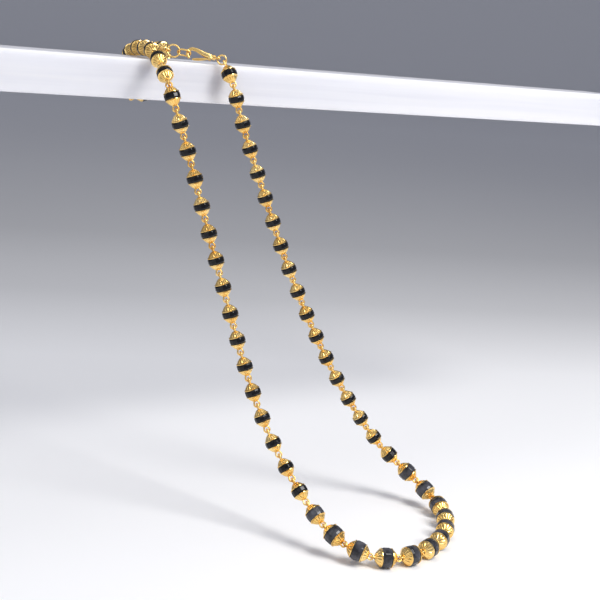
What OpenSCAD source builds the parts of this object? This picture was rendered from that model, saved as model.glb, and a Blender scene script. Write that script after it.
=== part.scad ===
// Mangalsutra necklace of black and gold beads, draped over a display bar.
// Millimetres, +Z up, bar along X, viewer towards -Y. The origin is the
// middle of the bar's underside, where the bar is held.

/* [Beads] */
// diameter of a strand bead's black band
bead_d = 5; // [4:0.1:6]
// width of a strand bead's black band
band_w = 1.8; // [1.6:0.1:3]
// diameter of the larger beads at the lying end
centre_bead_d = 6; // [5:0.1:7]
// width of the larger beads' black band
centre_band_w = 3; // [2.2:0.1:4]
// length of each gold cap
cap_len = 2; // [1.5:0.05:3]
// flat faces around a black band
facets = 12; // [8:1:12]

/* [Links] */
// thickness of the link wire
wire_d = 0.55; // [0.4:0.05:0.8]
// outer diameter of a wire eye
eye_d = 2.35; // [1.9:0.05:3]
// cap tip to cap tip on the left strand and over the bar
tip_gap = 2.85; // [2:0.05:4]
// cap tip to cap tip on the right strand
right_gap = 2.6; // [2:0.05:4]
// cap tip to cap tip where the beads lie slack
slack_gap = 2.1; // [1.6:0.05:4]

/* [Drape] */
// height of the bar's top over the middle of the lying beads
drop = 139.9; // [120:0.1:180]
// how far the strands reach out from the bar, as a share
reach = 1; // [0.8:0.05:1.2]

/* [Bar] */
// length of the bar
bar_len = 274; // [200:1:320]
// width of the bar, front to back
bar_depth = 27; // [24:0.5:40]
// height of the bar
bar_h = 12.4; // [10:0.1:20]
// bevel along the bar's long edges
bar_bevel = 0.6; // [0.2:0.1:2]

/* [Clasp] */
// length of the clasp's hook, from collar to nose
hook_len = 9.4; // [8:0.1:14]
// width across the hook
hook_w = 4.1; // [3.4:0.1:6]
// thickness of the hook
hook_t = 1.5; // [1.2:0.1:2.5]
// outer diameter of the end ring
end_ring_d = 4.5; // [4:0.1:7]
// outer length of the small oval link
small_link_len = 4.6; // [4:0.1:7]
// outer width of the small oval link
small_link_w = 2.9; // [2.7:0.1:4]
// outer diameter of the jump ring
jump_ring_d = 3.4; // [3:0.1:5]

/* [Hidden] */
$fn = 48;
gold = [0.86, 0.62, 0.22];
black = [0.04, 0.04, 0.05];
milk = [0.93, 0.93, 0.95];

// chosen points of the hanging strands and the lying end, from the bar's
// front top edge down the left strand and up the right one
strand_route = [
  [-4.4, -12.4, 137], [-3.9, -17, 130.6], [1.7, -19, 114.4], [6.3, -22.6, 97.2],
  [15.4, -29.6, 64.6], [19.9, -33.9, 48], [24.8, -39.7, 32], [30, -48.4, 18],
  [34, -60.8, 7.3], [36.5, -68.6, 3.4], [41.3, -75.8, 0.7], [50, -80.3, 0], [59, -80.3, 0],
  [68, -77, 0], [75.7, -72, 0], [82.7, -65, 0], [87.5, -58.1, 0], [89.7, -52.3, 0.6],
  [89.9, -46.6, 2.3], [88.2, -41.6, 5.1], [85, -37.4, 8.6], [81.4, -34.3, 12.4], [77.4, -31.6, 16.6],
  [68.6, -27, 28.8], [58, -22, 46.6], [44.6, -15.7, 74.9], [35.5, -11.4, 98.3],
  [26.7, -7.6, 122], [23.4, -6.8, 131.5], [22.2, -6, 136.6]
];

// the bar's place beside the route: its left end and its front face
bar_left = -62;
bead_r = bead_d / 2;
wire_r = wire_d / 2;
eye_r = (eye_d - wire_d) / 2;
top = drop;
back = bar_depth;
rise = drop / 139.9;
facing = unit([-0.36, -0.74, 0.57]);

// where the chain turns over the bar's edges
left_edge = [-3.6, -8.3 - 0.3 * (bead_d - 5), top - 1.3];
right_end = [21.5, -2.3 - 0.3 * (bead_d - 5), top + 0.7];
back_out = [3.4, back + 6.4 + 0.3 * (bead_d - 5), top - 0.9];

// the jump ring faces the viewer, and the right strand's eye hangs at its lower right
jump_side = unit([0.83, -0.55, 0]);
function around_jump(a) = jump_side * cos(a) + [0, 0, sin(a)];
jump_r = (jump_ring_d - wire_d) / 2;
jump_mid = right_end - around_jump(-40) * jump_r;
clasp_eye = jump_mid + around_jump(165) * jump_r;

// from its eye the clasp lies in line with the small link and the end ring
clasp_way = unit([-0.9215, 0.381, 0.0745]);
link_reach = (small_link_len - wire_d) / 2;
end_r = (end_ring_d - wire_d) / 2;
eye_reach = 0.75;
nose_half = 0.43;
wire_play = 0.05;
link_mid = clasp_eye + clasp_way * (eye_reach + hook_len - 2 * nose_half - wire_r - 6 * wire_play + link_reach);
ring_mid = link_mid + clasp_way * (link_reach - wire_d - wire_play + end_r);
ring_end = ring_mid + clasp_way * end_r;
open_side = unit(cross(clasp_way, cross([-0.44, -0.9, 0], clasp_way)));
function turned(a) = open_side * cos(a) + cross(clasp_way, open_side) * sin(a);
ring_normal = turned(20);
link_normal = turned(-40);
hook_normal = -turned(15);

hanging = concat([left_edge],
  [for (p = strand_route) [p.x * reach + 23 * (1 - reach), p.y * reach, p.z * rise]],
  [right_end]);
over_top = [left_edge, [-2.3, -0.8, top + 1.95], [-0.6, 0.29 * back, top + bead_r + 0.8],
  [0.95, 0.61 * back, top + bead_r + 0.2], [2.8, 0.93 * back, top + bead_r + 0.4], back_out];
// directions of the beads that hang behind the bar, each hinged on the last
hanging_ways = [[-0.42, 0.06, -0.9], [0.788, 0, -0.616], [0.956, 0, 0.292], [0.407, -0.06, 0.91], [-0.42, -0.5, 0.757]];
hanging_pitch = band_w + 2 * cap_len + tip_gap;

// vectors
function unit(v) = v / norm(v);
function mixed(a, b, t) = a + (b - a) * t;
function smooth(t) = let (u = min(1, max(0, t))) u * u * (3 - 2 * u);

// smooth curve through points
function knot(a, b) = max(0.01, sqrt(norm(b - a)));
function curve_point(a, b, c, d, t) =
  let (t1 = knot(a, b), t2 = t1 + knot(b, c), t3 = t2 + knot(c, d), q = t1 + (t2 - t1) * t,
    a1 = mixed(a, b, q / t1), a2 = mixed(b, c, (q - t1) / (t2 - t1)), a3 = mixed(c, d, (q - t2) / (t3 - t2)),
    b1 = mixed(a1, a2, q / t2), b2 = mixed(a2, a3, (q - t1) / (t3 - t1)))
  mixed(b1, b2, (q - t1) / (t2 - t1));
function padded(p) = concat([2 * p[0] - p[1]], p, [2 * p[len(p) - 1] - p[len(p) - 2]]);
function curve(p, n = 8) = let (e = padded(p))
  concat([for (i = [0:len(p) - 2], j = [0:n - 1]) curve_point(e[i], e[i + 1], e[i + 2], e[i + 3], j / n)],
    [p[len(p) - 1]]);
function lengths(d) = [for (i = 0, s = 0; i < len(d);
  s = s + (i + 1 < len(d) ? norm(d[i + 1] - d[i]) : 0), i = i + 1) s];
function place(s, d, l) = [for (k = [0:2]) lookup(s, [for (i = [0:len(d) - 1]) [l[i], d[i][k]]])];

// share of the way from a strand bead to a centre bead, by distance from the lowest point
function grade(s, mid) = smooth((66 - abs(s - mid)) / 25);
function pitch_at(s, mid) = let (g = grade(s, mid))
  mixed(band_w, centre_band_w, g) + 2 * cap_len + mixed(s > mid ? right_gap : tip_gap, slack_gap, g);

// joints between beads along one stretch: [point, grade], evenly shared out
function joints(route, graded) =
  let (d = curve(route), l = lengths(d), n = len(d), total = l[n - 1], mid = graded ? total / 2 : 1e6,
    share = [for (i = 0, q = 0; i < n;
      q = q + (i + 1 < n ? (l[i + 1] - l[i]) / pitch_at((l[i] + l[i + 1]) / 2, mid) : 0), i = i + 1) q],
    count = max(1, round(share[n - 1])),
    back_table = [for (i = [0:n - 1]) [share[i], l[i]]])
  [for (k = [0:count]) let (s = lookup(share[n - 1] * k / count, back_table)) [place(s, d, l), s, mid]];

// one bead between two joints: [middle, axis, length between joints, grade]
function beads_of(route, graded = false) = let (j = joints(route, graded))
  [for (k = [0:len(j) - 2]) let (a = j[k][0], b = j[k + 1][0])
    [(a + b) / 2, unit(b - a), norm(b - a), grade((j[k][1] + j[k + 1][1]) / 2, j[k][2]), a, b]];
strand_beads = beads_of(hanging, true);
hung_joints = [for (i = 0, p = back_out; i <= len(hanging_ways);
  p = i < len(hanging_ways) ? p + hanging_pitch * unit(hanging_ways[i]) : p, i = i + 1) p];
behind_beads = [for (i = [1:len(hung_joints) - 1]) let (a = hung_joints[i - 1], b = hung_joints[i])
  [(a + b) / 2, unit(b - a), norm(b - a), 0, a, b]];
return_top = [hung_joints[len(hanging_ways)], [9.6, 0.79 * back, top + bead_r + 0.35],
  [5.3, 0.52 * back, top + bead_r + 0.4], ring_end];
round_back = concat(beads_of(over_top), behind_beads, beads_of(return_top));
// the whole chain in order: from the right end down, round and over to the ring end
chain = concat(
  [for (k = [len(strand_beads) - 1:-1:0]) let (b = strand_beads[k]) [b[0], -b[1], b[2], b[3], b[5], b[4]]],
  round_back);
last = len(chain) - 1;
half = round((len(strand_beads) - 1) / 2);

// direction of the chain at the joint before bead k, and how far each eye stands off it
function pull(k) = unit(chain[k - 1][1] + chain[k][1]);
function tight(k) = norm(cross(chain[k - 1][1], chain[k][1])) > 0.6;
function stand_off(k, first) = k <= 0 || k > last ? 0
  : tight(k) ? (first == (k <= half) ? 0 : eye_r)
  : eye_r / 2 / max(0.5, norm(chain[k - 1][1] + chain[k][1]) / 2);
function eye_normal(k, first) = k <= 0 ? let (t = around_jump(50), a = chain[0][1]) unit(t - (t * a) * a)
  : k > last ? cross(ring_normal, clasp_way)
  : tight(k) ? let (n = unit(cross(chain[k - 1][1], chain[k][1])))
    first == (k <= half) ? n : cross(chain[first ? k - 1 : k][1], n)
  : let (u = pull(k), n = unit(facing - (facing * u) * u)) first == (k <= half) ? n : cross(u, n);

module frame_at(p, z, x = [0.3, 0.2, 1]) {
  w = unit(z);
  v = unit(cross(w, abs(w * unit(x)) > 0.98 ? [0, 1, 0.1] : x));
  u = cross(v, w);
  multmatrix([[u.x, v.x, w.x, p.x], [u.y, v.y, w.y, p.y], [u.z, v.z, w.z, p.z], [0, 0, 0, 1]]) children();
}
module ring(outer, wire) { rotate_extrude() translate([outer / 2 - wire / 2, 0]) circle(d = wire, $fn = 24); }
module placed() { translate([-(bar_left + bar_len / 2), -bar_depth / 2, bar_h - top]) children(); }

// outline of two caps on their pin, drawn from the bead's middle outwards
function cap_side(d, w, neck) = let (z = w / 2 + 0.05) [
  [0.35, z], [0.47 * d, z], [0.485 * d, z + 0.12], [0.47 * d, z + 0.26], [0.452 * d, z + 0.3],
  [0.432 * d, z + 0.28 * cap_len], [0.385 * d, z + 0.5 * cap_len], [0.315 * d, z + 0.7 * cap_len],
  [0.225 * d, z + 0.87 * cap_len], [0.15 * d, z + cap_len - 0.05],
  [wire_r, z + cap_len - 0.05], [wire_r, z + cap_len - 0.05 + neck]];
function flipped(p) = [for (i = [len(p) - 1:-1:0]) [p[i].x, -p[i].y]];

module black_bead(d, w) {
  intersection() {
    linear_extrude(height = w, center = true) difference() {
      circle(d = d / cos(180 / facets) * 0.985, $fn = facets);
      circle(r = 0.45);
    }
    rotate_extrude() polygon([[0, -w / 2], [0.465 * d, -w / 2], [0.497 * d, -0.28 * w],
      [0.508 * d, 0], [0.497 * d, 0.28 * w], [0.465 * d, w / 2], [0, w / 2]]);
  }
}
module black_beads() {
  color(black) placed() for (b = chain)
    frame_at(b[0], b[1]) black_bead(mixed(bead_d, centre_bead_d, b[3]), mixed(band_w, centre_band_w, b[3]));
}

module gold_bead(k) {
  b = chain[k];
  d = mixed(bead_d, centre_bead_d, b[3]);
  w = mixed(band_w, centre_band_w, b[3]);
  tip = w / 2 + cap_len;
  fore = stand_off(k, false);
  aft = stand_off(k + 1, true);
  fore_neck = max(0.05, b[2] / 2 - fore - eye_r - tip);
  aft_neck = max(0.05, b[2] / 2 - aft - eye_r - tip);
  frame_at(b[0], b[1]) rotate_extrude() polygon(concat([[0, -tip - fore_neck]],
    flipped(cap_side(d, w, fore_neck)), cap_side(d, w, aft_neck), [[0, tip + aft_neck]]));
  frame_at(b[4] + b[1] * fore, eye_normal(k, false)) ring(eye_d, wire_d);
  frame_at(b[5] - b[1] * aft, eye_normal(k + 1, true)) ring(eye_d, wire_d);
}
module gold_links() { color(gold) placed() for (k = [0:last]) gold_bead(k); }

module end_ring() { color(gold) placed() frame_at(ring_mid, ring_normal) ring(end_ring_d, wire_d); }
module small_link() {
  a = (small_link_len - small_link_w) / 2;
  r = (small_link_w - wire_d) / 2;
  color(gold) placed() frame_at(link_mid, link_normal, clasp_way) for (side = [0, 180]) rotate([0, 0, side]) {
    translate([a, 0, 0]) rotate([0, 0, -90]) rotate_extrude(angle = 180) translate([r, 0]) circle(d = wire_d, $fn = 24);
    translate([0, r, 0]) rotate([0, 90, 0]) cylinder(h = 2 * a + 0.08, d = wire_d + 0.02, center = true, $fn = 24);
  }
}
module jump_ring() {
  color(gold) placed() frame_at(jump_mid, cross(jump_side, [0, 0, 1])) ring(jump_ring_d, wire_d);
}

// the clasp in its own frame: X from the eye to the nose, Y up, Z away from the viewer
nose_t = 0.66;
arc_r = hook_w / 2 - nose_half;
arc_x = eye_reach + hook_len - hook_w / 2;
arc_drop = 62;
nose_end = [arc_x + arc_r * cos(arc_drop), -arc_r * sin(arc_drop)];
hinge = [eye_reach + 1.75, -0.42];
hinge_pin_r = 0.24;
hinge_bore_r = 0.28;
slot = 0.74;
lever_t = 0.6;
lever_tip = nose_end - [0.86, 0.24];
span = arc_x - hinge.x;

// hook arm and lever as [x, y, half width] along their middle lines
hook_arm = concat([[hinge.x - 0.7, 0.12, 0.72], [hinge.x + 0.28 * span, 0.3 * arc_r, 0.76],
  [hinge.x + 0.56 * span, 0.62 * arc_r, 0.7], [hinge.x + 0.78 * span, 0.89 * arc_r, 0.58]],
  [for (i = [0:12]) let (q = 90 - (90 + arc_drop) * i / 12)
    [arc_x + arc_r * cos(q), arc_r * sin(q), nose_half + 0.07 - 0.01 * i]]);
lever_arm = [[hinge.x, hinge.y, 0.38], [hinge.x + 0.22 * span, -0.52 * arc_r, 0.38],
  [hinge.x + 0.5 * span, -0.78 * arc_r, 0.4], [hinge.x + 0.78 * span, -0.95 * arc_r, 0.38],
  [mixed(hinge.x + 0.78 * span, lever_tip.x, 0.5), -0.99 * arc_r, 0.32], [lever_tip.x, lever_tip.y, 0.26]];

function along(p, i) = let (a = p[max(0, i - 1)], b = p[min(len(p) - 1, i + 1)])
  [b.x - a.x, b.y - a.y] / norm([b.x - a.x, b.y - a.y]);
function edge(p, i, side) = let (t = along(p, i)) [p[i].x - side * t.y * p[i].z, p[i].y + side * t.x * p[i].z];
function tip_arc(p, i) = let (t = along(p, i)) [for (q = [60, 20, -20, -60])
  [p[i].x + p[i].z * (t.x * cos(q) - t.y * sin(q)), p[i].y + p[i].z * (t.y * cos(q) + t.x * sin(q))]];
module ribbon(p) {
  n = len(p) - 1;
  polygon(concat([for (i = [0:n]) edge(p, i, 1)], tip_arc(p, n), [for (i = [n:-1:0]) edge(p, i, -1)]));
}
module rod(a, b, r1, r2) {
  d = b - a;
  translate([a.x, a.y, 0]) rotate([0, 90, atan2(d.y, d.x)]) cylinder(h = norm(d), r1 = r1, r2 = r2);
}
module clasp_frame() {
  y = cross(hook_normal, clasp_way);
  multmatrix([[clasp_way.x, y.x, hook_normal.x, clasp_eye.x], [clasp_way.y, y.y, hook_normal.y, clasp_eye.y],
    [clasp_way.z, y.z, hook_normal.z, clasp_eye.z], [0, 0, 0, 1]]) children();
}

module clasp_body() {
  t = hook_t / 2;
  color(gold) placed() clasp_frame() {
    rotate([90, 0, 0]) ring(2 * eye_reach + wire_d, wire_d);
    translate([eye_reach, 0, 0]) rotate([0, 90, 0]) cylinder(h = 0.9, r = 0.85);
    difference() {
      union() {
        translate([hinge.x, hinge.y, 0]) cylinder(h = hook_t - 0.04, r = 0.66, center = true);
        rod([eye_reach + 0.5, 0], [eye_reach + 1.9, 0.1], 0.8, 0.7);
        intersection() {
          linear_extrude(height = 4, center = true) ribbon(hook_arm);
          translate([0, -5, 0]) rotate([-90, 0, 0]) linear_extrude(height = 10)
            polygon([[0.5, -t], [3.4, -t], [arc_x * 0.7, -t * 0.84], [arc_x, -nose_t / 2 - 0.04],
              [arc_x + 4, -nose_t / 2], [arc_x + 4, nose_t / 2], [arc_x, nose_t / 2 + 0.04],
              [arc_x * 0.7, t * 0.84], [3.4, t], [0.5, t]]);
        }
      }
      translate([hinge.x - 0.75, -3, -slot / 2]) cube([3.6, 3 + hinge.y + 0.64, slot]);
    }
    translate([hinge.x, hinge.y, 0]) cylinder(h = hook_t - 0.2, r = hinge_pin_r, center = true);
  }
}
module clasp_lever() {
  n = len(lever_arm) - 1;
  t = along(lever_arm, 0);
  a = atan2(t.y, t.x);
  color(gold) placed() clasp_frame() difference() {
    linear_extrude(height = lever_t, center = true)
      polygon(concat([for (i = [1:n]) edge(lever_arm, i, 1)], tip_arc(lever_arm, n),
        [for (i = [n:-1:1]) edge(lever_arm, i, -1)],
        [for (q = [-40:-20:-320]) hinge + 0.5 * [cos(a + q), sin(a + q)]]));
    translate([hinge.x, hinge.y, 0]) cylinder(h = 4, r = hinge_bore_r, center = true);
  }
}

module display_bar() {
  e = bar_bevel;
  d = bar_depth;
  color(milk) placed() translate([bar_left, 0, top - bar_h]) rotate([90, 0, 90])
    linear_extrude(height = bar_len) polygon([[e, 0], [d - e, 0], [d, e], [d, bar_h - e],
      [d - e, bar_h], [e, bar_h], [0, bar_h - e], [0, e]]);
}

display_bar();
black_beads();
gold_links();
end_ring();
small_link();
clasp_body();
clasp_lever();
jump_ring();
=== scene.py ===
import bpy
import bmesh
import math
from mathutils import Matrix, Vector


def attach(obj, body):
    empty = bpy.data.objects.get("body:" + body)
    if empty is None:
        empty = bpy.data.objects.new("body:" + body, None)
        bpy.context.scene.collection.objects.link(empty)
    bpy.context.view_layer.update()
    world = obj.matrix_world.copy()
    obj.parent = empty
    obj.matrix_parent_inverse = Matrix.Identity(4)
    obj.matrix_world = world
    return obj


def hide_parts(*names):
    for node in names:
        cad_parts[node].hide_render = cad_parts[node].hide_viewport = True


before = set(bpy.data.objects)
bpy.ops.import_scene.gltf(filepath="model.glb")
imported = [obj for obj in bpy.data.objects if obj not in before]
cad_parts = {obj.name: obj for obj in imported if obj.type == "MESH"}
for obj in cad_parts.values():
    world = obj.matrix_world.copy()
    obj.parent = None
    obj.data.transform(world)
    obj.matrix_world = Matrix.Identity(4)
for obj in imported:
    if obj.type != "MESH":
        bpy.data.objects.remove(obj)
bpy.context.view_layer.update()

MM = 0.001
TAU = 2 * math.pi
BODY = "necklace_on_bar"

# Sizes in mm, with the values of the part's source
BEAD_D, BAND_W, CAP_LEN = 5.0, 1.8, 2.0
CENTRE_BEAD_D, CENTRE_BAND_W = 6.0, 3.0
WIRE_D, EYE_D = 0.55, 2.35
TIP_GAP, RIGHT_GAP, SLACK_GAP = 2.85, 2.6, 2.1
TOP, BAR_LEN, BACK, BAR_H, BAR_LEFT = 139.9, 274.0, 27.0, 12.4, -62.0
HOOK_LEN, HOOK_W, HOOK_T, END_RING_D = 9.4, 4.1, 1.5, 4.5
SMALL_LINK_LEN, SMALL_LINK_W, JUMP_RING_D = 4.6, 2.9, 3.4
EYE_REACH, NOSE_HALF, WIRE_PLAY = 0.75, 0.43, 0.05
WIRE_R, BEAD_R = WIRE_D / 2, BEAD_D / 2
EYE_R = (EYE_D - WIRE_D) / 2
JUMP_R = (JUMP_RING_D - WIRE_D) / 2
END_R = (END_RING_D - WIRE_D) / 2
LINK_REACH = (SMALL_LINK_LEN - WIRE_D) / 2

# Middle of the bar's underside, which is the part's origin, seen from the route's own zero
ORIGIN = Vector((BAR_LEFT + BAR_LEN / 2, BACK / 2, TOP - BAR_H))


def vec(*p):
    return Vector(p)


def unit(v):
    return Vector(v).normalized()


def mixed(a, b, t):
    return a + (b - a) * t


def at(places, values, x):
    """The value at x, mixed from those at the places on its two sides."""
    for i in range(1, len(places)):
        if x <= places[i] or i == len(places) - 1:
            t = (x - places[i - 1]) / (places[i] - places[i - 1])
            return values[i - 1] + (values[i] - values[i - 1]) * min(1, max(0, t))


def curve(p, n=8):
    """A centripetal spline through the points, with n steps between each two."""
    p = [2 * p[0] - p[1]] + list(p) + [2 * p[-1] - p[-2]]
    out = []
    for a, b, c, d in zip(p, p[1:], p[2:], p[3:]):
        t1, t2, t3 = [max(0.01, math.sqrt((v - u).length)) for u, v in ((a, b), (b, c), (c, d))]
        t2 += t1
        t3 += t2
        for k in range(n):
            q = t1 + (t2 - t1) * k / n
            a1 = a + (b - a) * (q / t1)
            a2 = b + (c - b) * ((q - t1) / (t2 - t1))
            a3 = c + (d - c) * ((q - t2) / (t3 - t2))
            b1 = a1 + (a2 - a1) * (q / t2)
            b2 = a2 + (a3 - a2) * ((q - t1) / (t3 - t1))
            out.append(b1 + (b2 - b1) * ((q - t1) / (t2 - t1)))
    return out + [p[-2]]


def frame_of(x, y, z, middle):
    """The matrix whose columns are three axes and a place."""
    rows = [(x[i], y[i], z[i], middle[i]) for i in range(3)]
    return Matrix(rows + [(0, 0, 0, 1)])


ANY_WAY, OTHER_WAY, NEARLY_ALONG = (0.3, 0.2, 1), (0, 1, 0.1), 0.98


def frame_at(middle, z, lean=ANY_WAY):
    """A frame whose Z is z, and whose X leans towards lean, or another way where that lies along Z."""
    w, x = unit(z), unit(lean)
    v = w.cross(Vector(OTHER_WAY) if abs(w.dot(x)) > NEARLY_ALONG else x).normalized()
    return frame_of(v.cross(w), v, w, middle)


# The ring that joins the clasp to the right strand
RIGHT_END = vec(21.5, -2.3, TOP + 0.7)
JUMP_SIDE = unit((0.83, -0.55, 0))
STRAND_TURN, CLASP_TURN, FIRST_EYE_TURN = -40, 165, 50


def around_jump(turn):
    a = math.radians(turn)
    return JUMP_SIDE * math.cos(a) + vec(0, 0, math.sin(a))


JUMP_MID = RIGHT_END - around_jump(STRAND_TURN) * JUMP_R

# From that ring's far side the clasp, the small link and the end ring follow in one line
CLASP_EYE = JUMP_MID + around_jump(CLASP_TURN) * JUMP_R
CLASP_WAY = unit((-0.9215, 0.381, 0.0745))
HOOK_INSIDE = EYE_REACH + HOOK_LEN - 2 * NOSE_HALF - WIRE_R - 6 * WIRE_PLAY
LINK_MID = CLASP_EYE + CLASP_WAY * (HOOK_INSIDE + LINK_REACH)
RING_MID = LINK_MID + CLASP_WAY * (LINK_REACH - WIRE_D - WIRE_PLAY + END_R)
RING_END = RING_MID + CLASP_WAY * END_R
OPEN_SIDE = CLASP_WAY.cross(vec(-0.44, -0.9, 0).cross(CLASP_WAY)).normalized()


def turned(turn):
    """A way across the clasp's line, turned about it in degrees."""
    a = math.radians(turn)
    return OPEN_SIDE * math.cos(a) + CLASP_WAY.cross(OPEN_SIDE) * math.sin(a)


RING_NORMAL, LINK_NORMAL, HOOK_NORMAL = turned(20), turned(-40), -turned(15)

# The chain's route, from the bar's front edge down to the table and back up
STRAND = [(-4.4, -12.4, 137), (-3.9, -17, 130.6), (1.7, -19, 114.4), (6.3, -22.6, 97.2),
    (15.4, -29.6, 64.6), (19.9, -33.9, 48), (24.8, -39.7, 32), (30, -48.4, 18), (34, -60.8, 7.3),
    (36.5, -68.6, 3.4), (41.3, -75.8, 0.7), (50, -80.3, 0), (59, -80.3, 0), (68, -77, 0),
    (75.7, -72, 0), (82.7, -65, 0), (87.5, -58.1, 0), (89.7, -52.3, 0.6), (89.9, -46.6, 2.3),
    (88.2, -41.6, 5.1), (85, -37.4, 8.6), (81.4, -34.3, 12.4), (77.4, -31.6, 16.6), (68.6, -27, 28.8),
    (58, -22, 46.6), (44.6, -15.7, 74.9), (35.5, -11.4, 98.3), (26.7, -7.6, 122), (23.4, -6.8, 131.5),
    (22.2, -6, 136.6)]
LEFT_EDGE = vec(-3.6, -8.3, TOP - 1.3)
BACK_OUT = vec(3.4, BACK + 6.4, TOP - 0.9)
HANGING = [LEFT_EDGE] + [Vector(p) for p in STRAND] + [RIGHT_END]
OVER_TOP = [LEFT_EDGE, vec(-2.3, -0.8, TOP + 1.95), vec(-0.6, 0.29 * BACK, TOP + BEAD_R + 0.8),
    vec(0.95, 0.61 * BACK, TOP + BEAD_R + 0.2), vec(2.8, 0.93 * BACK, TOP + BEAD_R + 0.4), BACK_OUT]

# Behind the bar each bead has its own way, and the last three come back over the top to the end ring
BEHIND_WAYS = [(-0.42, 0.06, -0.9), (0.788, 0, -0.616), (0.956, 0, 0.292), (0.407, -0.06, 0.91),
    (-0.42, -0.5, 0.757)]
BEHIND = [BACK_OUT]
for way in BEHIND_WAYS:
    BEHIND.append(BEHIND[-1] + unit(way) * (BAND_W + 2 * CAP_LEN + TIP_GAP))
RETURN_TOP = [BEHIND[-1], vec(9.6, 0.79 * BACK, TOP + BEAD_R + 0.35),
    vec(5.3, 0.52 * BACK, TOP + BEAD_R + 0.4), RING_END]

# The beads grow towards the route's middle: full within 41 mm of it, small beyond 66 mm
GRADED_REACH, GRADED_FADE, NO_MIDDLE = 66, 25, 1e6


def grade(place, middle):
    """0 for a small bead, 1 for a full centre bead."""
    u = min(1, max(0, (GRADED_REACH - abs(place - middle)) / GRADED_FADE))
    return u * u * (3 - 2 * u)


def pitch_at(place, middle):
    g = grade(place, middle)
    gap = mixed(RIGHT_GAP if place > middle else TIP_GAP, SLACK_GAP, g)
    return mixed(BAND_W, CENTRE_BAND_W, g) + 2 * CAP_LEN + gap


class Bead:
    """A bead between two joints, whose share is 0 when small and 1 when full."""

    def __init__(self, start, end, share=0):
        self.start, self.end, self.share = start, end, share
        self.middle = (start + end) / 2
        self.way = (end - start).normalized()
        self.across = mixed(BEAD_D, CENTRE_BEAD_D, share)
        self.band = mixed(BAND_W, CENTRE_BAND_W, share)


def beads_of(route, graded=False):
    """Beads spread evenly over a route, by the pitch that each of its places calls for."""
    p = curve(route)
    length = [0]
    for a, b in zip(p, p[1:]):
        length.append(length[-1] + (b - a).length)
    middle = length[-1] / 2 if graded else NO_MIDDLE
    share = [0]
    for a, b in zip(length, length[1:]):
        share.append(share[-1] + (b - a) / pitch_at((a + b) / 2, middle))
    count = max(1, math.floor(share[-1] + 0.5))
    places = [at(share, length, share[-1] * k / count) for k in range(count + 1)]
    joints = [at(length, p, x) for x in places]
    return [Bead(a, b, grade((u + v) / 2, middle))
        for a, b, u, v in zip(joints, joints[1:], places, places[1:])]


strand = [Bead(b.end, b.start, b.share) for b in reversed(beads_of(HANGING, True))]
behind = [Bead(a, b) for a, b in zip(BEHIND, BEHIND[1:])]
CHAIN = strand + beads_of(OVER_TOP) + behind + beads_of(RETURN_TOP)
LAST = len(CHAIN) - 1
HALF = round((len(strand) - 1) / 2)

# At each joint one eye faces this way, or along a tight bend's axis, and the other stands square to it
FACING = unit((-0.36, -0.74, 0.57))
TIGHT = 0.6


def bend(k):
    return CHAIN[k - 1].way.cross(CHAIN[k].way)


def stand_off(k, before):
    """How far the eye of the bead before or after joint k stands from it, towards its own bead."""
    if k <= 0 or k > LAST:
        return 0
    if bend(k).length > TIGHT:
        return 0 if before == (k <= HALF) else EYE_R
    return EYE_R / 2 / max(0.5, (CHAIN[k - 1].way + CHAIN[k].way).length / 2)


def eye_normal(k, before):
    """The way that the eye of the bead before or after joint k faces."""
    if k <= 0:
        t, a = around_jump(FIRST_EYE_TURN), CHAIN[0].way
        return (t - a * t.dot(a)).normalized()
    if k > LAST:
        return RING_NORMAL.cross(CLASP_WAY)
    u = (CHAIN[k - 1].way + CHAIN[k].way).normalized()
    if bend(k).length > TIGHT:
        n, u = bend(k).normalized(), CHAIN[k - 1 if before else k].way
    else:
        n = (FACING - u * FACING.dot(u)).normalized()
    return n if before == (k <= HALF) else u.cross(n)


# Meshes, and how many steps go round each wire, eye, collar, rod and plate
EYE_WIRE_STEPS, RING_WIRE_STEPS, EYE_STEPS, COLLAR_STEPS, ROD_STEPS, PLATE_STEPS = 14, 18, 28, 16, 36, 40


class Shape:
    """Rings of points, in mm on the route's own zero, that become one mesh in metres."""

    def __init__(self):
        self.v, self.f = [], []

    def skin(self, rows, m, caps=False, loop=False):
        n, k = len(rows[0]), len(self.v)
        for row in rows:
            self.v += [(m @ Vector(p) - ORIGIN) * MM for p in row]
        last = len(rows) if loop else len(rows) - 1
        for i in range(last):
            a, b = k + i * n, k + (i + 1) % len(rows) * n
            for j in range(n):
                q = (j + 1) % n
                self.f.append((a + j, a + q, b + q, b + j))
        if caps:
            self.f.append(tuple(k + j for j in reversed(range(n))))
            self.f.append(tuple(k + (len(rows) - 1) * n + j for j in range(n)))

    def tube(self, path, r, m, n):
        """A closed wire round a closed path of points in the XY plane."""
        rows, count = [], len(path)
        for i, p in enumerate(path):
            t = unit(path[(i + 1) % count] - path[i - 1])
            side = vec(-t.y, t.x, 0)
            rows.append([p + side * (r * math.cos(TAU * j / n)) + vec(0, 0, r * math.sin(TAU * j / n))
                for j in range(n)])
        self.skin(rows, m, loop=True)

    def lathe(self, profile, m, n, caps=False):
        """A profile of (radius, place along Z), turned about Z."""
        turns = [(math.cos(TAU * j / n), math.sin(TAU * j / n)) for j in range(n)]
        self.skin([[(r * c, r * s, z) for c, s in turns] for r, z in profile], m, caps=caps)

    def mesh(self, name):
        me = bpy.data.meshes.new(name)
        me.from_pydata(self.v, [], self.f)
        return me

    def piece(self, name, material, slot, body, nodes, smooth):
        dress(bpy.data.objects.new(name, self.mesh(name)), material, body, nodes, smooth)


def face_outwards(me):
    bm = bmesh.new()
    bm.from_mesh(me)
    bmesh.ops.recalc_face_normals(bm, faces=bm.faces)
    bm.to_mesh(me)
    bm.free()


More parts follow.
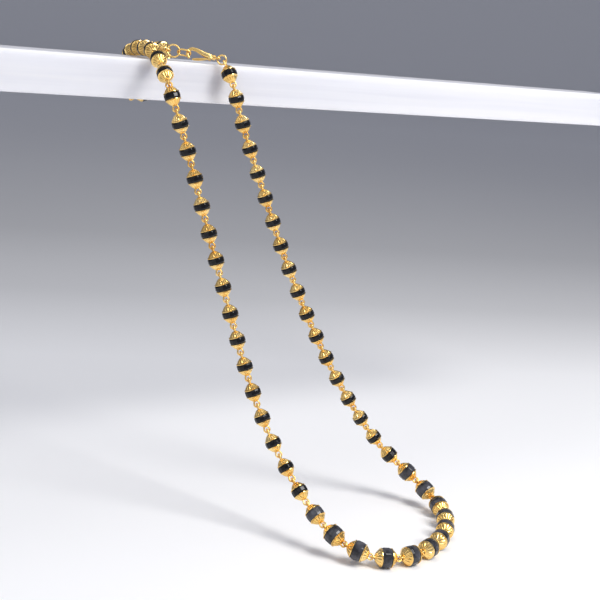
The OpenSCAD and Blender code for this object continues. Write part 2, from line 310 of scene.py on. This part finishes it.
def dress(o, material, body, nodes, smooth):
    """Gives a piece its shading, smooth below an angle in degrees, and its material, body and nodes."""
    bpy.context.scene.collection.objects.link(o)
    me = o.data
    face_outwards(me)
    me.polygons.foreach_set("use_smooth", [smooth > 0] * len(me.polygons))
    if smooth > 0:
        me.set_sharp_from_angle(angle=math.radians(smooth))
    me.materials.append(material)
    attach(o, body)
    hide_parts(*nodes)


# Materials
class Mat:
    """A material's nodes, with every texture laid out in the piece's own coordinates."""

    def __init__(self, name, **sockets):
        self.m = bpy.data.materials.new(name)
        self.m.use_nodes = True
        self.t = self.m.node_tree
        self.p = self.t.nodes["Principled BSDF"]
        for k, v in sockets.items():
            self.p.inputs[k.replace("_", " ")].default_value = v
        self.place = self.node("ShaderNodeTexCoord").outputs["Object"]

    def node(self, kind, **props):
        n = self.t.nodes.new(kind)
        for k, v in props.items():
            setattr(n, k, v)
        return n

    def link(self, a, b):
        self.t.links.new(a, b)

    def noise(self, scale, detail, stretch=None):
        n = self.node("ShaderNodeTexNoise")
        n.inputs["Scale"].default_value = scale
        n.inputs["Detail"].default_value = detail
        place = self.place
        if stretch:
            s = self.node("ShaderNodeMapping")
            s.inputs["Scale"].default_value = stretch
            self.link(place, s.inputs["Vector"])
            place = s.outputs["Vector"]
        self.link(place, n.inputs["Vector"])
        return n.outputs["Fac"]

    def ramp(self, fac, stops, to):
        """Feeds a socket from a ramp of (place, colour or grey)."""
        r = self.node("ShaderNodeValToRGB")
        while len(r.color_ramp.elements) < len(stops):
            r.color_ramp.elements.new(0.5)
        for e, (x, c) in zip(r.color_ramp.elements, stops):
            e.position = x
            e.color = (*c, 1) if isinstance(c, tuple) else (c, c, c, 1)
        self.link(fac, r.inputs["Fac"])
        self.link(r.outputs["Color"], self.p.inputs[to])

    def bump(self, heights, strengths, distances):
        """Lays bumps over each other, each with its strength and its distance in metres."""
        last = None
        for h, s, d in zip(heights, strengths, distances):
            b = self.node("ShaderNodeBump")
            b.inputs["Strength"].default_value = s
            b.inputs["Distance"].default_value = d
            self.link(h, b.inputs["Height"])
            if last:
                self.link(last, b.inputs["Normal"])
            last = b.outputs["Normal"]
        self.link(last, self.p.inputs["Normal"])


def gold(name, rough, worn):
    """Polished yellow gold, whose tone and gloss vary a little."""
    g = Mat(name, Metallic=1.0)
    wide, fine = g.noise(150, 3), g.noise(1800, 2)
    tones = [(0.30, (0.84, 0.50, 0.13)), (0.5, (0.94, 0.63, 0.21)), (0.72, (1.0, 0.75, 0.33))]
    g.ramp(wide, tones, "Base Color")
    g.ramp(fine, [(0.3, rough), (0.75, rough + worn)], "Roughness")
    g.bump([wide, fine], [0.05, 0.03], [0.00001, 0.000004])
    return g.m


def black(name, low, high, rough, ior):
    """Opaque black glass, whose tone lies between low and high."""
    b = Mat(name, IOR=ior)
    wide, fine = b.noise(330, 3), b.noise(3000, 2)
    b.ramp(wide, [(0.35, low), (0.7, high)], "Base Color")
    b.ramp(fine, [(0.3, rough), (0.7, rough + 0.09)], "Roughness")
    b.bump([wide, fine], [0.12, 0.1], [0.00001, 0.000004])
    return b.m


def acrylic():
    """Milky acrylic that scatters light under its surface, with faint streaks along the bar."""
    a = Mat("milk_acrylic", IOR=1.49, Subsurface_Weight=0.85, Subsurface_Scale=0.008,
        Subsurface_Radius=(1, 0.97, 0.94))
    streak, cloud, grain = a.noise(7, 3, (1.2, 30, 45)), a.noise(22, 3), a.noise(1500, 2)
    tones = [(0.25, (0.615, 0.62, 0.665)), (0.5, (0.675, 0.68, 0.715)), (0.75, (0.72, 0.72, 0.735))]
    a.ramp(streak, tones, "Base Color")
    a.ramp(cloud, [(0.3, 0.30), (0.7, 0.42)], "Roughness")
    a.bump([streak, grain], [0.15, 0.15], [0.0004, 0.00002])
    return a.m


GOLD = gold("gold_polished", 0.17, 0.07)
GOLD_WIRE = gold("gold_wire", 0.28, 0.08)
BLACK = black("black_glass", (0.0015, 0.0015, 0.002), (0.005, 0.005, 0.006), 0.15, 1.4)
# The centre bands' glass is painted greyer than the rest: painted reflection of the light above on their
# lying facets; its mottling is the glass's own tone
BLACK_CENTRE_PAINTED_REFLECTION = black("black_glass_centre_painted_reflection", (0.012, 0.012, 0.015), (0.085, 0.085, 0.10), 0.16, 1.45)
MILK = acrylic()

# Black bands with worn edges: place along the band, as a share of its width, and share of its full radius
BAND_ROWS = [(-0.5, 0.915), (-0.485, 0.93), (-0.30, 0.992), (-0.27, 1), (0.27, 1), (0.30, 0.992),
    (0.485, 0.93), (0.5, 0.915)]
FACETS, BAND_FLAT, BAND_CORNER = 12, 0.4925, 0.018


def band(shape, bead):
    """One band of flat faces with narrow flats cut along its corners."""
    flat, corner = BAND_FLAT * bead.across, BAND_CORNER * bead.across
    rows = []
    for z, k in BAND_ROWS:
        half = flat * k * math.tan(math.pi / FACETS)
        row = []
        for j in range(FACETS):
            q = TAU * (j + 0.5) / FACETS
            u, t = vec(math.cos(q), math.sin(q), 0), vec(-math.sin(q), math.cos(q), 0)
            for side in (-1, 1):
                row.append(u * (flat * k) + t * side * (half - corner) + vec(0, 0, z * bead.band))
        rows.append(row)
    shape.skin(rows, frame_at(bead.middle, bead.way), caps=True)


small, centre = Shape(), Shape()
for bead in CHAIN:
    band(centre if bead.share > 0.5 else small, bead)
small.piece("black_bands", BLACK, "black_glass", BODY, ["black_beads"], smooth=0)
centre.piece("centre_bands", BLACK_CENTRE_PAINTED_REFLECTION, "black_glass", BODY, ["black_beads"], smooth=0)

# Gold caps: radius as a share of the bead's width, place along the cap and share of the flutes' full depth
CAP_SIDE = [(0.47, 0, 0), (0.488, 0.03, 0), (0.488, 0.13, 0), (0.456, 0.175, 0.05), (0.438, 0.20, 0.45),
    (0.418, 0.27, 0.9), (0.394, 0.36, 1), (0.366, 0.46, 1), (0.334, 0.56, 1), (0.300, 0.66, 1),
    (0.264, 0.75, 1), (0.226, 0.84, 1), (0.186, 0.915, 0.9), (0.152, 0.965, 0.4), (0.125, 0.988, 0),
    (0.1, 1.0, 0)]
LOBES, PER_LOBE, FLUTE, CAP_CLEAR, CAP_BORE_R = 12, 8, 0.13, 0.05, 0.35


def cap(shape, bead, sign):
    """One cap: a plain rim, then a blunt cone cut into lobes by narrow flutes."""
    base = bead.band / 2 + CAP_CLEAR
    rows = []
    for r, z, cut in [(CAP_BORE_R / bead.across, 0, 0)] + CAP_SIDE:
        row = []
        for j in range(LOBES * PER_LOBE):
            q = TAU * j / (LOBES * PER_LOBE)
            u = (j % PER_LOBE) / PER_LOBE * 2 - 1
            lobe = 1 - FLUTE * cut * abs(u) ** 3
            row.append((r * bead.across * lobe * math.cos(q), r * bead.across * lobe * math.sin(q),
                sign * (base + z * CAP_LEN)))
        rows.append(row)
    shape.skin(rows, frame_at(bead.middle, bead.way))


for name, sign in (("caps_fore", -1), ("caps_aft", 1)):
    caps = Shape()
    for bead in CHAIN:
        cap(caps, bead, sign)
    caps.piece(name, GOLD, "gold", BODY, ["gold_links"], smooth=50)

# Wire eyes, as shares of their radius: reach at +X, half width, its taper, and least way to the cap
DRAWN_OUT, EYE_WAIST, EYE_TAPER, LEAST_NECK = 1.4, 0.98, 0.22, 0.8
# The collar where an eye's wire enters its cap: radius and place from the cap's tip
EYE_COLLAR = [(0.2, -0.2), (0.42, -0.04), (0.5, 0.1), (0.3, 0.16)]


def ring_path(r, n):
    return [vec(r * math.cos(TAU * i / n), r * math.sin(TAU * i / n), 0) for i in range(n)]


def drop_path(r, n):
    """A round eye drawn out to a soft point at +X, where it enters its cap."""
    out = []
    for i in range(n):
        x, y = math.cos(TAU * i / n), math.sin(TAU * i / n)
        out.append(vec(r * x * (DRAWN_OUT if x > 0 else 1), r * y * (EYE_WAIST - EYE_TAPER * x), 0))
    return out


def eye(shape, bead, joint, way, off, normal):
    """A bead's eye at a joint, with the collar where its wire enters the cap."""
    centre = joint + way * off
    shape.tube(drop_path(EYE_R, EYE_STEPS), WIRE_R, frame_at(centre, normal, way), EYE_WIRE_STEPS)
    tip = bead.band / 2 + CAP_LEN
    neck = max(LEAST_NECK * EYE_R, (bead.middle - centre).dot(way) - tip)
    shape.lathe([(r, neck + z) for r, z in EYE_COLLAR], frame_at(centre, way), COLLAR_STEPS)


eyes = Shape()
for k, bead in enumerate(CHAIN):
    eye(eyes, bead, bead.start, bead.way, stand_off(k, False), eye_normal(k, False))
    eye(eyes, bead, bead.end, -bead.way, stand_off(k + 1, True), eye_normal(k + 1, True))
eyes.piece("wire_eyes", GOLD_WIRE, "gold", BODY, ["gold_links"], smooth=60)

# Rings near the clasp, and how many steps each has along its path, the oval in each half
END_RING_STEPS, JUMP_RING_STEPS, CLASP_EYE_STEPS, OVAL_STEPS = 56, 48, 40, 24


def wire_ring(name, path, m, node):
    ring = Shape()
    ring.tube(path, WIRE_R, m, RING_WIRE_STEPS)
    ring.piece(name, GOLD_WIRE, "gold", BODY, [node], smooth=60)


def oval_path():
    """Two half rounds of the small link's width, set apart to its length."""
    apart, r = (SMALL_LINK_LEN - SMALL_LINK_W) / 2, (SMALL_LINK_W - WIRE_D) / 2
    turns = [math.radians(-90 + 180 * i / OVAL_STEPS) for i in range(OVAL_STEPS + 1)]
    return [vec(s * (apart + r * math.cos(q)), s * r * math.sin(q), 0) for s in (1, -1) for q in turns]


JUMP_FRAME = frame_at(JUMP_MID, JUMP_SIDE.cross(vec(0, 0, 1)))
wire_ring("round_end_ring", ring_path(END_R, END_RING_STEPS), frame_at(RING_MID, RING_NORMAL), "end_ring")
wire_ring("oval_link", oval_path(), frame_at(LINK_MID, LINK_NORMAL, CLASP_WAY), "small_link")
wire_ring("round_jump_ring", ring_path(JUMP_R, JUMP_RING_STEPS), JUMP_FRAME, "jump_ring")

# The clasp, from its eye, with X along it, Y across it and Z through its thickness
CLASP = frame_of(CLASP_WAY, HOOK_NORMAL.cross(CLASP_WAY), HOOK_NORMAL, CLASP_EYE)
NOSE_T, ARC_R, ARC_DROP, ARC_STEPS = 0.66, HOOK_W / 2 - NOSE_HALF, 62, 12
DROP = math.radians(ARC_DROP)
ARC_X = EYE_REACH + HOOK_LEN - HOOK_W / 2
NOSE_END = vec(ARC_X + ARC_R * math.cos(DROP), -ARC_R * math.sin(DROP), 0)
HINGE = vec(EYE_REACH + 1.75, -0.42, 0)
LEVER_TIP = NOSE_END - vec(0.86, 0.24, 0)
SPAN = ARC_X - HINGE.x
SHOULDER = HINGE.x + 0.78 * SPAN
HINGE_PLATE_R, PIN_R, LEVER_PLATE_R, LEVER_HALF_T = 0.66, 0.24, 0.5, 0.3
# The slot's width, its reach from the hinge to the eye, the nose and the arm, and its far side past the hook
SLOT, SLOT_BACK, SLOT_FRONT, SLOT_IN, SLOT_OUT = 0.74, 0.75, 2.85, 0.64, 3

# Arm and lever, as points of place along, place across and half width
ARM = [(HINGE.x - 0.7, 0.12, 0.72), (HINGE.x + 0.28 * SPAN, 0.3 * ARC_R, 0.76),
    (HINGE.x + 0.56 * SPAN, 0.62 * ARC_R, 0.7), (SHOULDER, 0.89 * ARC_R, 0.58)]
for i in range(ARC_STEPS + 1):
    q = math.radians(90 - (90 + ARC_DROP) * i / ARC_STEPS)
    ARM.append((ARC_X + ARC_R * math.cos(q), ARC_R * math.sin(q), NOSE_HALF + 0.07 - 0.01 * i))
LEVER = [(HINGE.x, HINGE.y, 0.38), (HINGE.x + 0.22 * SPAN, -0.52 * ARC_R, 0.38),
    (HINGE.x + 0.5 * SPAN, -0.78 * ARC_R, 0.4), (SHOULDER, -0.95 * ARC_R, 0.38),
    (mixed(SHOULDER, LEVER_TIP.x, 0.5), -0.99 * ARC_R, 0.32), (LEVER_TIP.x, LEVER_TIP.y, 0.26)]

# Steps round each section and the power that squares it, then the last rows' shares of the full section
HOOK_STEPS, HOOK_POWER, LEVER_STEPS, LEVER_POWER = 28, 0.62, 20, 0.5
END_SHARES = (0.55, 0.86, 0.97)


def hook_half_t(x):
    """The hook's half thickness at a place along it."""
    places = [0.5, 3.4, 0.7 * ARC_X, ARC_X, ARC_X + 4]
    halves = [HOOK_T / 2, HOOK_T / 2, HOOK_T * 0.42, NOSE_T / 2 + 0.04, NOSE_T / 2]
    return at(places, halves, x)


def lever_half_t(x):
    return LEVER_HALF_T


def sweep(shape, path, half_t, n, power):
    """A bar of rounded section along a path in the clasp's plane, with softened ends."""
    p = curve([Vector(q) for q in path], 5)
    rows, count = [], len(p)
    for i, q in enumerate(p):
        u = p[min(count - 1, i + 1)] - p[max(0, i - 1)]
        u = vec(u.x, u.y, 0).normalized()
        side = vec(-u.y, u.x, 0)
        left = min(i, count - 1 - i)
        end = END_SHARES[left] if left < len(END_SHARES) else 1
        row = []
        for j in range(n):
            s, t = math.cos(TAU * j / n), math.sin(TAU * j / n)
            row.append(vec(q.x, q.y, 0) + side * (q.z * end * math.copysign(abs(s) ** power, s))
                + vec(0, 0, half_t(q.x) * end * math.copysign(abs(t) ** power, t)))
        rows.append(row)
    shape.skin(rows, CLASP, caps=True)


def plate(shape, centre, r, half):
    """A round plate with softened edges, flat in the clasp's plane."""
    m = CLASP @ Matrix.Translation(centre)
    e = min(0.1, half * 0.3)
    side = [(r * 0.2, -half), (r - e, -half), (r - 0.3 * e, -half + 0.3 * e), (r, -half + e), (r, half - e),
        (r - 0.3 * e, half - 0.3 * e), (r - e, half), (r * 0.2, half)]
    shape.lathe(side, m, PLATE_STEPS, caps=True)


def rod(shape, a, b, r1, r2, middle=None):
    """A round bar between two places in the clasp's plane, with its own rows between its ends if given."""
    d, e = b - a, 0.06
    turn = Matrix.Rotation(math.atan2(d.y, d.x), 4, "Z") @ Matrix.Rotation(math.pi / 2, 4, "Y")
    start = [(r1 * 0.3, 0), (r1 - e, 0)]
    end = [(r2 - e, d.length), (r2 * 0.3, d.length)]
    between = middle or [(r1, e), (r2, d.length - e)]
    shape.lathe(start + between + end, CLASP @ Matrix.Translation(a) @ turn, ROD_STEPS, caps=True)


def solid(shape):
    """A plain object of a shape, with its faces turned outwards."""
    o = bpy.data.objects.new("shape", shape.mesh("shape"))
    bpy.context.scene.collection.objects.link(o)
    face_outwards(o.data)
    return o


def less(shape, cutter):
    """The mesh of a shape with the cutter taken away."""
    o = solid(shape)
    mod = o.modifiers.new("cut", "BOOLEAN")
    mod.operation, mod.solver, mod.object = "DIFFERENCE", "EXACT", cutter
    got = bpy.data.meshes.new_from_object(o.evaluated_get(bpy.context.evaluated_depsgraph_get()))
    bpy.data.objects.remove(o)
    return got


def lever_slot():
    """The block that the hook is cut with, to make room for the lever."""
    slot = Shape()
    x0, x1, y0, y1 = HINGE.x - SLOT_BACK, HINGE.x + SLOT_FRONT, -SLOT_OUT, HINGE.y + SLOT_IN
    slot.skin([[(x0, y0, z), (x1, y0, z), (x1, y1, z), (x0, y1, z)] for z in (-SLOT / 2, SLOT / 2)],
        CLASP, caps=True)
    return solid(slot)


def slotted_parts():
    """The hook's arm, hinge plate and neck, each with the lever's slot cut into it."""
    arm, hinge, neck = Shape(), Shape(), Shape()
    sweep(arm, ARM, hook_half_t, HOOK_STEPS, HOOK_POWER)
    plate(hinge, HINGE, HINGE_PLATE_R, HOOK_T / 2 - 0.02)
    rod(neck, vec(EYE_REACH + 0.5, 0, 0), vec(EYE_REACH + 1.9, 0.1, 0), 0.8, 0.7)
    cutter = lever_slot()
    parts = [less(shape, cutter) for shape in (arm, hinge, neck)]
    bpy.data.objects.remove(cutter)
    return parts


# The collar's length and radius, and its groove and worn edges as radius and place along it
COLLAR_LEN, COLLAR_R = 0.9, 0.85
COLLAR_SIDE = [(0.79, 0.04), (0.85, 0.1), (0.85, 0.28), (0.80, 0.34), (0.80, 0.4), (0.85, 0.46), (0.85, 0.8),
    (0.79, 0.86)]


def clasp_hook():
    """The hook with its collar, its eye and the hinge's pin."""
    body = Shape()
    rod(body, vec(EYE_REACH, 0, 0), vec(EYE_REACH + COLLAR_LEN, 0, 0), COLLAR_R, COLLAR_R, COLLAR_SIDE)
    upright = CLASP @ Matrix.Rotation(math.pi / 2, 4, "X")
    body.tube(ring_path(EYE_REACH, CLASP_EYE_STEPS), WIRE_R, upright, RING_WIRE_STEPS)
    plate(body, HINGE, PIN_R, HOOK_T / 2 - 0.01)
    me = body.mesh("clasp_hook")
    bm = bmesh.new()
    bm.from_mesh(me)
    for part in slotted_parts():
        bm.from_mesh(part)
    bm.to_mesh(me)
    bm.free()
    dress(bpy.data.objects.new("clasp_hook", me), GOLD_WIRE, BODY, ["clasp_body"], 35)


def clasp_lever():
    """The sprung lever with the round plate that it turns on."""
    shape = Shape()
    sweep(shape, LEVER, lever_half_t, LEVER_STEPS, LEVER_POWER)
    plate(shape, HINGE, LEVER_PLATE_R, LEVER_HALF_T)
    shape.piece("clasp_tongue", GOLD_WIRE, "gold", "lever", ["clasp_lever"], smooth=35)


clasp_hook()
clasp_lever()

# The plain bar: radius of its long edges, then place from an end and how far its sides draw in there
EDGE_R, EDGE_STEPS, BAR_STEPS = 0.6, 8, 24
BAR_ENDS = [(0, 0.75), (0.03, 0.42), (0.12, 0.16), (0.3, 0)]
FACING_FROM, DRAW_SHARE = 0.3, 0.6


def bar_section():
    """The section's four rounded corners, each point as its corner's centre and its turn."""
    out = []
    far, top = BACK - EDGE_R, BAR_H - EDGE_R
    for y, z, start in ((far, top, 0), (EDGE_R, top, 90), (EDGE_R, EDGE_R, 180), (far, EDGE_R, 270)):
        out += [(y, z, math.radians(start + 90 * i / EDGE_STEPS)) for i in range(EDGE_STEPS + 1)]
    return out


def drawn_in(centre, middle, out, inset):
    """A place on one axis, drawn in towards the bar's middle where the surface faces along that axis."""
    pull = inset * math.copysign(1, centre - middle) * (abs(out) > FACING_FROM) * DRAW_SHARE
    return centre + EDGE_R * out - pull


def acrylic_bar():
    """A bar with rounded long edges, flat ends and worn end edges."""
    places = list(BAR_ENDS)
    places += [(BAR_LEN * i / BAR_STEPS, 0) for i in range(1, BAR_STEPS)]
    places += [(BAR_LEN - x, inset) for x, inset in reversed(BAR_ENDS)]
    rows = []
    for x, inset in places:
        rows.append([(BAR_LEFT + x, drawn_in(y, BACK / 2, math.cos(q), inset),
            TOP - BAR_H + drawn_in(z, BAR_H / 2, math.sin(q), inset)) for y, z, q in bar_section()])
    bar = Shape()
    bar.skin(rows, Matrix.Identity(4), caps=True)
    bar.piece("acrylic_bar", MILK, "milk_acrylic", BODY, ["display_bar"], smooth=30)


acrylic_bar()

# Floor in metres, whose far end curves up into a wall
TABLE = (-CENTRE_BEAD_D / 2 - ORIGIN.z) * MM
FLOOR_DROP, NEAR_EDGE, HALF_WIDTH = 0.00002, 9.0, 12
WALL_START, WALL_R, WALL_TOP, WALL_STEPS = 4.2, 1.6, 9, 16
AWAY, RIGHT = vec(0.5547, 0.8321, 0), vec(0.8321, -0.5547, 0)

# The floor's grey, painted shade that stands in for the light's falloff: darker and then a little lighter
# again against half of the distance in metres from a place between camera and necklace
SHADE_TURN, SHADE_START = 0.2, (-0.13, -0.2, 0)
PAINTED_FALLOFF = [(0.0, 0.96), (0.14, 0.96), (0.18, 0.94), (0.25, 0.70), (0.35, 0.60), (0.54, 0.67), (1, 0.77)]


def floor_mesh():
    edge = [(-NEAR_EDGE, 0), (WALL_START, 0)]
    for q in [math.pi / 2 * i / WALL_STEPS for i in range(1, WALL_STEPS + 1)]:
        edge.append((WALL_START + WALL_R * math.sin(q), WALL_R * (1 - math.cos(q))))
    edge.append((WALL_START + WALL_R, WALL_TOP))
    points = []
    for dist, height in edge:
        for side in (-HALF_WIDTH, HALF_WIDTH):
            p = AWAY * dist + RIGHT * side
            points.append((p.x, p.y, TABLE - FLOOR_DROP + height))
    faces = [(2 * i, 2 * i + 1, 2 * i + 3, 2 * i + 2) for i in range(len(edge) - 1)]
    me = bpy.data.meshes.new("floor")
    me.from_pydata(points, [], faces)
    me.polygons.foreach_set("use_smooth", [True] * len(me.polygons))
    return me


def table_painted_falloff():
    """A pale matt table with painted shade: its grey changes away from the camera, standing in for the
    light's falloff.
    """
    t = Mat("table_painted_falloff", Roughness=0.55)
    mapping = t.node("ShaderNodeMapping", vector_type="TEXTURE")
    apart = t.node("ShaderNodeSeparateXYZ")
    half = t.node("ShaderNodeMath", operation="MULTIPLY")
    mapping.inputs["Rotation"].default_value = (0, 0, math.atan2(AWAY.y, AWAY.x) + SHADE_TURN)
    mapping.inputs["Location"].default_value = SHADE_START
    half.inputs[1].default_value = 0.5
    t.link(t.place, mapping.inputs["Vector"])
    t.link(mapping.outputs["Vector"], apart.inputs["Vector"])
    t.link(apart.outputs["X"], half.inputs[0])
    # Painted shade: the base colour darkens and then lightens a little with distance, in place of light
    # falloff
    t.ramp(half.outputs[0], PAINTED_FALLOFF, "Base Color")
    t.bump([t.noise(900, 3)], [0.05], [0.0001])
    return t.m


floor = bpy.data.objects.new("floor", floor_mesh())
floor.data.materials.append(table_painted_falloff())
bpy.context.scene.collection.objects.link(floor)


# Light
def softbox(name, place, target, size, power, colour=(1, 1, 1)):
    """A rectangle of light, its size in metres and its power in watts."""
    light = bpy.data.lights.new(name, "AREA")
    light.shape, light.size, light.size_y = "RECTANGLE", size[0], size[1]
    light.energy, light.color = power, colour
    o = bpy.data.objects.new(name, light)
    o.location = place
    o.rotation_mode = "QUATERNION"
    o.rotation_quaternion = (Vector(target) - Vector(place)).to_track_quat("-Z", "Y")
    bpy.context.scene.collection.objects.link(o)


def room_light(colour, strength):
    """Even light from all sides."""
    world = bpy.data.worlds.new("studio")
    bpy.context.scene.world = world
    world.use_nodes = True
    back = world.node_tree.nodes["Background"]
    back.inputs["Color"].default_value = (*colour, 1)
    back.inputs["Strength"].default_value = strength


softbox("key", (0.20, -0.53, 0.50), (-0.01, -0.03, -0.04), (0.30, 0.55), 6.3, (1, 0.985, 0.965))
softbox("fill", (-0.50, -0.30, 0.30), (-0.02, -0.06, -0.10), (0.4, 0.4), 0.45, (0.95, 0.97, 1))
softbox("over", (-0.05, 0.05, 0.7), (0, -0.05, -0.1), (0.6, 0.3), 0.7)
room_light((0.605, 0.63, 0.75), 0.475)

# Camera fitted to the photo: its turn, pitch and roll, its place in metres and its focal length in pixels
TURN, PITCH, ROLL = math.radians(33.69), math.radians(12.448), math.radians(5.475)
CAMERA_AT = (-0.23957, -0.35055, 0.02297)
SENSOR, FOCAL_PX, FRAME_PX = 36, 1180, 600


def camera():
    level = vec(math.cos(TURN), -math.sin(TURN), 0)
    under = vec(-math.sin(TURN) * math.sin(PITCH), -math.cos(TURN) * math.sin(PITCH), -math.cos(PITCH))
    ahead = vec(math.sin(TURN) * math.cos(PITCH), math.cos(TURN) * math.cos(PITCH), -math.sin(PITCH))
    right = level * math.cos(ROLL) - under * math.sin(ROLL)
    down = level * math.sin(ROLL) + under * math.cos(ROLL)
    lens = bpy.data.cameras.new("camera")
    lens.sensor_width, lens.lens = SENSOR, SENSOR * FOCAL_PX / FRAME_PX
    lens.clip_start, lens.clip_end = 0.01, 60
    o = bpy.data.objects.new("camera", lens)
    o.matrix_world = frame_of(right, -down, -ahead, CAMERA_AT)
    bpy.context.scene.collection.objects.link(o)
    bpy.context.scene.camera = o


camera()
bpy.context.scene.view_settings.view_transform = "Standard"
